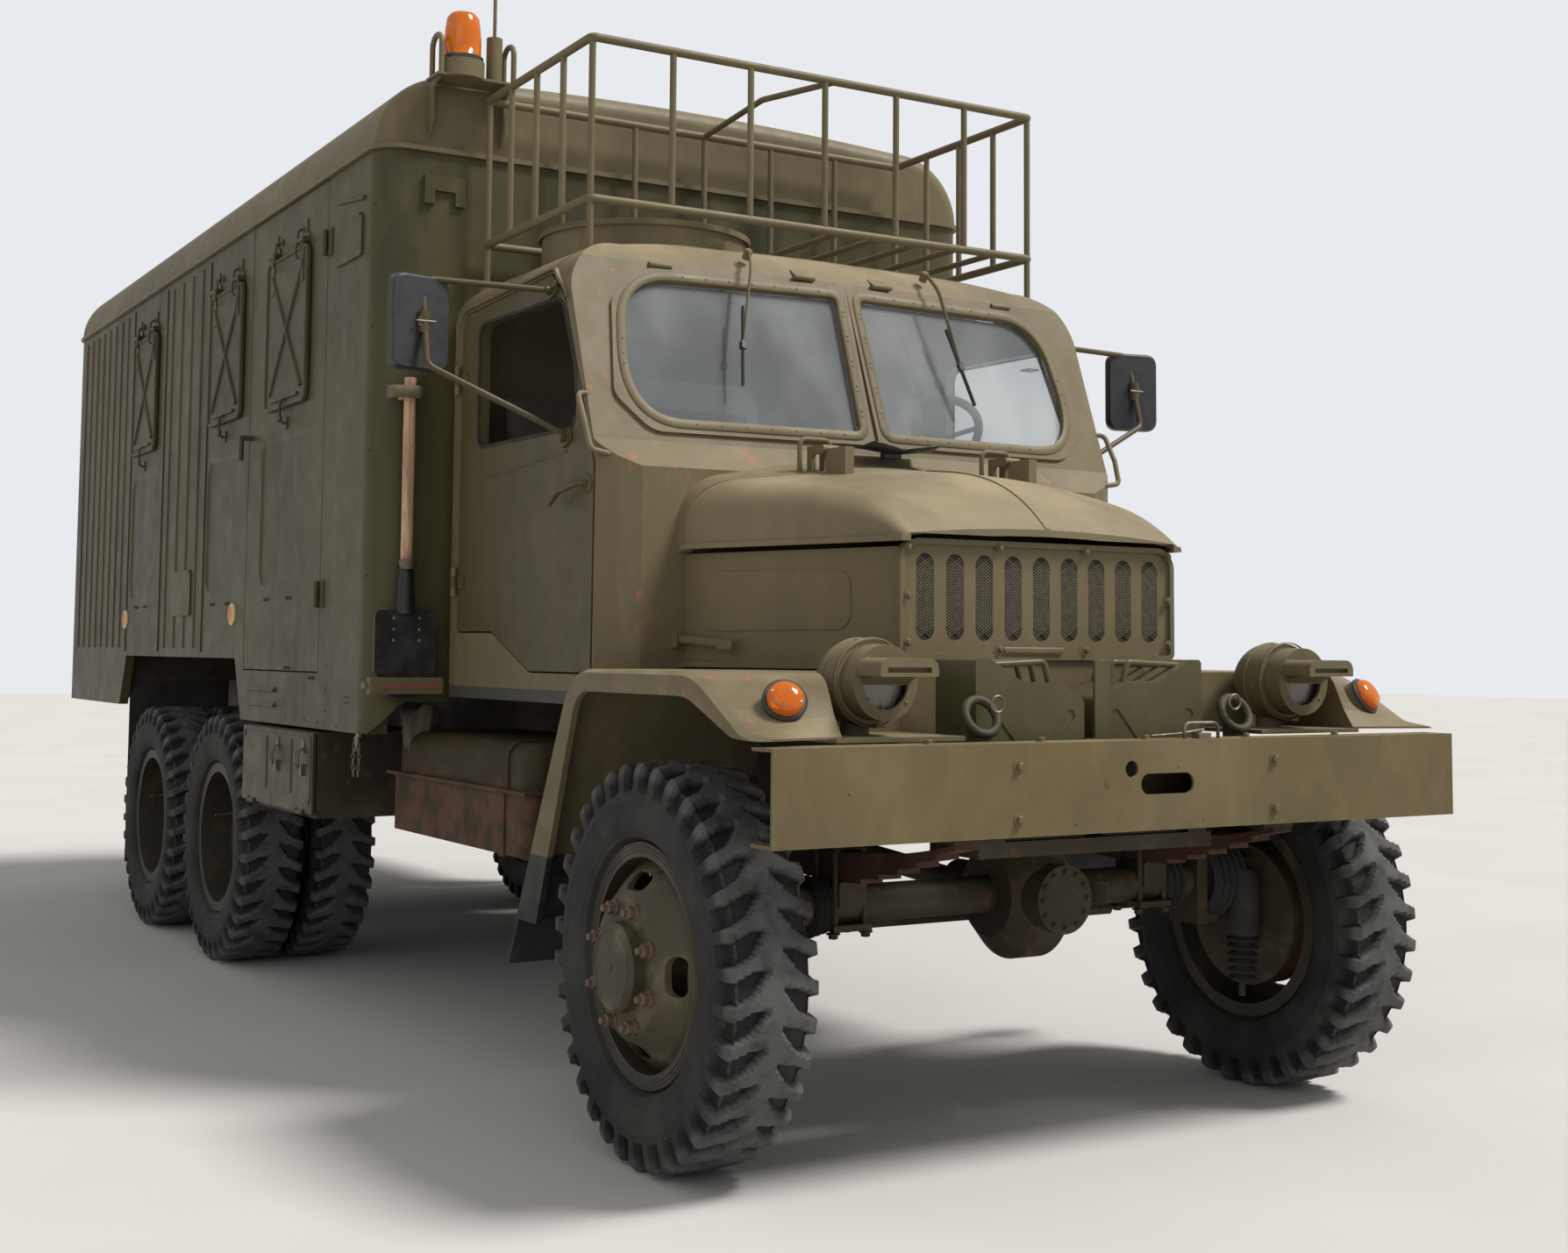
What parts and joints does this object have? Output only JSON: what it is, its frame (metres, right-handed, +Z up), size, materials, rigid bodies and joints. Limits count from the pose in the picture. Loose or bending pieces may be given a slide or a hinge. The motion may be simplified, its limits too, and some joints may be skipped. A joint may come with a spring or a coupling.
{
  "type": "military ambulance truck",
  "caption": "Bonneted off-road truck with a boxy ambulance body, dual rear wheels, slotted grille, roof rack on the cab and hinged window covers",
  "frame": {"origin": "centre of the bounding box at ground level", "axes": "+X forward, +Y to the truck's left, +Z up"},
  "size_m": [7.211, 2.764, 3.53],
  "materials": {
    "olive_paint": "worn matt olive paint",
    "rim_paint": "worn dark olive paint",
    "chassis_paint": "dirty dark olive paint",
    "tyre_rubber": "dusty black tyre",
    "window_glass": "clear flat glass",
    "lamp_lens": "moulded lens",
    "flap_rubber": "dull black",
    "seat_cover": "dark artificial leather",
    "bare_steel": "scratched paint and bare steel"
  },
  "bodies": {
    "chassis": {"chassis_frame": "chassis_paint", "front_bumper": "olive_paint", "engine_block": "chassis_paint", "driveline": "chassis_paint", "front_axle": "chassis_paint", "rear_axles": "chassis_paint", "leaf_springs": "chassis_paint", "cab_scuttle": "olive_paint", "cab_shell": "olive_paint", "cab_floor": "olive_paint", "cab_glass": "window_glass", "dashboard": "flap_rubber", "seats": "seat_cover", "hood_sides": "olive_paint", "grille": "olive_paint", "front_fenders": "olive_paint", "headlamps": "olive_paint", "lamp_lenses": "lamp_lens", "jerrycans": "olive_paint", "fuel_tank": "olive_paint", "box_floor": "olive_paint", "underbody": "chassis_paint", "box_front_wall": "olive_paint", "box_rear_wall": "olive_paint", "box_right_wall": "olive_paint", "box_left_wall": "olive_paint", "box_roof": "olive_paint", "roof_rack": "olive_paint", "beacon_mount": "olive_paint", "shovel": "bare_steel", "mudflaps": "flap_rubber"},
    "steer_left": {"knuckle_left": "chassis_paint"},
    "front_wheel_left": {"front_rim_left": "rim_paint", "front_tyre_left": "tyre_rubber"},
    "rear_wheels_left_1": {"rear_rims_left_1": "rim_paint", "rear_tyres_left_1": "tyre_rubber"},
    "rear_wheels_left_2": {"rear_rims_left_2": "rim_paint", "rear_tyres_left_2": "tyre_rubber"},
    "cab_door_left": {"cab_door_left": "olive_paint"},
    "rear_door_left": {"rear_door_left": "olive_paint"},
    "steer_right": {"knuckle_right": "chassis_paint"},
    "front_wheel_right": {"front_rim_right": "rim_paint", "front_tyre_right": "tyre_rubber"},
    "rear_wheels_right_1": {"rear_rims_right_1": "rim_paint", "rear_tyres_right_1": "tyre_rubber"},
    "rear_wheels_right_2": {"rear_rims_right_2": "rim_paint", "rear_tyres_right_2": "tyre_rubber"},
    "cab_door_right": {"cab_door_right": "olive_paint"},
    "rear_door_right": {"rear_door_right": "olive_paint"},
    "tie_rod": {"tie_rod": "chassis_paint"},
    "steering_wheel": {"steering_wheel": "flap_rubber"},
    "hood": {"hood": "olive_paint"},
    "hatch_lid": {"hatch_lid": "olive_paint"},
    "box_side_door": {"box_side_door": "olive_paint"},
    "locker_door": {"locker_door": "olive_paint"},
    "window_cover_right_front": {"window_cover_right_front": "olive_paint"},
    "window_cover_right_middle": {"window_cover_right_middle": "olive_paint"},
    "window_cover_right_rear": {"window_cover_right_rear": "olive_paint"},
    "window_cover_left_middle": {"window_cover_left_middle": "olive_paint"},
    "window_cover_left_rear": {"window_cover_left_rear": "olive_paint"}
  },
  "joints": [
    {"name": "steering_left", "type": "hinge", "parent": "chassis", "child": "steer_left", "pos_m": [2.9955, 0.742, 0.586], "axis": [0, 0, 1], "range_deg": [-30, 30]},
    {"name": "front_wheel_left_spin", "type": "hinge", "parent": "steer_left", "child": "front_wheel_left", "pos_m": [2.9955, 0.955, 0.478], "axis": [0, 1, 0], "continuous": true},
    {"name": "rear_wheels_left_1_spin", "type": "hinge", "parent": "chassis", "child": "rear_wheels_left_1", "pos_m": [-0.5845, 0.89, 0.478], "axis": [0, 1, 0], "continuous": true},
    {"name": "rear_wheels_left_2_spin", "type": "hinge", "parent": "chassis", "child": "rear_wheels_left_2", "pos_m": [-1.7045, 0.89, 0.478], "axis": [0, 1, 0], "continuous": true},
    {"name": "cab_door_left_hinge", "type": "hinge", "parent": "chassis", "child": "cab_door_left", "pos_m": [1.3805, 0.918, 1.75], "axis": [0, 0, 1], "range_deg": [0, 75]},
    {"name": "rear_door_left_hinge", "type": "hinge", "parent": "chassis", "child": "rear_door_left", "pos_m": [-3.5675, 0.6225, 1.96], "axis": [0, 0, -1], "range_deg": [0, 110]},
    {"name": "steering_right", "type": "hinge", "parent": "chassis", "child": "steer_right", "pos_m": [2.9955, -0.742, 0.586], "axis": [0, 0, 1], "range_deg": [-30, 30]},
    {"name": "front_wheel_right_spin", "type": "hinge", "parent": "steer_right", "child": "front_wheel_right", "pos_m": [2.9955, -0.955, 0.478], "axis": [0, 1, 0], "continuous": true},
    {"name": "rear_wheels_right_1_spin", "type": "hinge", "parent": "chassis", "child": "rear_wheels_right_1", "pos_m": [-0.5845, -0.89, 0.478], "axis": [0, 1, 0], "continuous": true},
    {"name": "rear_wheels_right_2_spin", "type": "hinge", "parent": "chassis", "child": "rear_wheels_right_2", "pos_m": [-1.7045, -0.89, 0.478], "axis": [0, 1, 0], "continuous": true},
    {"name": "cab_door_right_hinge", "type": "hinge", "parent": "chassis", "child": "cab_door_right", "pos_m": [1.3805, -0.918, 1.75], "axis": [0, 0, -1], "range_deg": [0, 75]},
    {"name": "rear_door_right_hinge", "type": "hinge", "parent": "chassis", "child": "rear_door_right", "pos_m": [-3.5675, -0.6225, 1.96], "axis": [0, 0, 1], "range_deg": [0, 110]},
    {"name": "tie_rod_pivot", "type": "hinge", "parent": "steer_left", "child": "tie_rod", "pos_m": [2.7835, 0.722, 0.516], "axis": [0, 0, 1], "range_deg": [-30, 30]},
    {"name": "steering_wheel_turn", "type": "hinge", "parent": "chassis", "child": "steering_wheel", "pos_m": [2.0105, 0.4, 1.88], "axis": [-0.6157, 0, 0.788], "range_deg": [-450, 450]},
    {"name": "hood_hinge", "type": "hinge", "parent": "chassis", "child": "hood", "pos_m": [2.6435, 0, 1.778], "axis": [0, -1, 0], "range_deg": [0, 50]},
    {"name": "hatch_hinge", "type": "hinge", "parent": "chassis", "child": "hatch_lid", "pos_m": [1.3945, -0.445, 2.51], "axis": [0, -1, 0], "range_deg": [0, 85]},
    {"name": "box_side_door_hinge", "type": "hinge", "parent": "chassis", "child": "box_side_door", "pos_m": [0.736, -1.1595, 2], "axis": [0, 0, 1], "range_deg": [0, 100]},
    {"name": "locker_door_hinge", "type": "hinge", "parent": "chassis", "child": "locker_door", "pos_m": [0.3135, -1.1575, 0.663], "axis": [1, 0, 0], "range_deg": [0, 100]},
    {"name": "window_cover_right_front_hinge", "type": "hinge", "parent": "box_side_door", "child": "window_cover_right_front", "pos_m": [0.3055, -1.1675, 2.654], "axis": [-1, 0, 0], "range_deg": [0, 100]},
    {"name": "window_cover_right_middle_hinge", "type": "hinge", "parent": "chassis", "child": "window_cover_right_middle", "pos_m": [-0.5295, -1.1675, 2.654], "axis": [-1, 0, 0], "range_deg": [0, 100]},
    {"name": "window_cover_right_rear_hinge", "type": "hinge", "parent": "chassis", "child": "window_cover_right_rear", "pos_m": [-1.9345, -1.1675, 2.654], "axis": [-1, 0, 0], "range_deg": [0, 100]},
    {"name": "window_cover_left_middle_hinge", "type": "hinge", "parent": "chassis", "child": "window_cover_left_middle", "pos_m": [-0.5295, 1.1675, 2.654], "axis": [1, 0, 0], "range_deg": [0, 100]},
    {"name": "window_cover_left_rear_hinge", "type": "hinge", "parent": "chassis", "child": "window_cover_left_rear", "pos_m": [-1.9345, 1.1675, 2.654], "axis": [1, 0, 0], "range_deg": [0, 100]}
  ],
  "couplings": [
    {"joint": "tie_rod_pivot", "follows": "steering_left", "ratio": -1},
    {"joint": "steering_right", "follows": "steering_left", "ratio": 1},
    {"joint": "steering_wheel_turn", "follows": "steering_left", "ratio": 15}
  ]
}
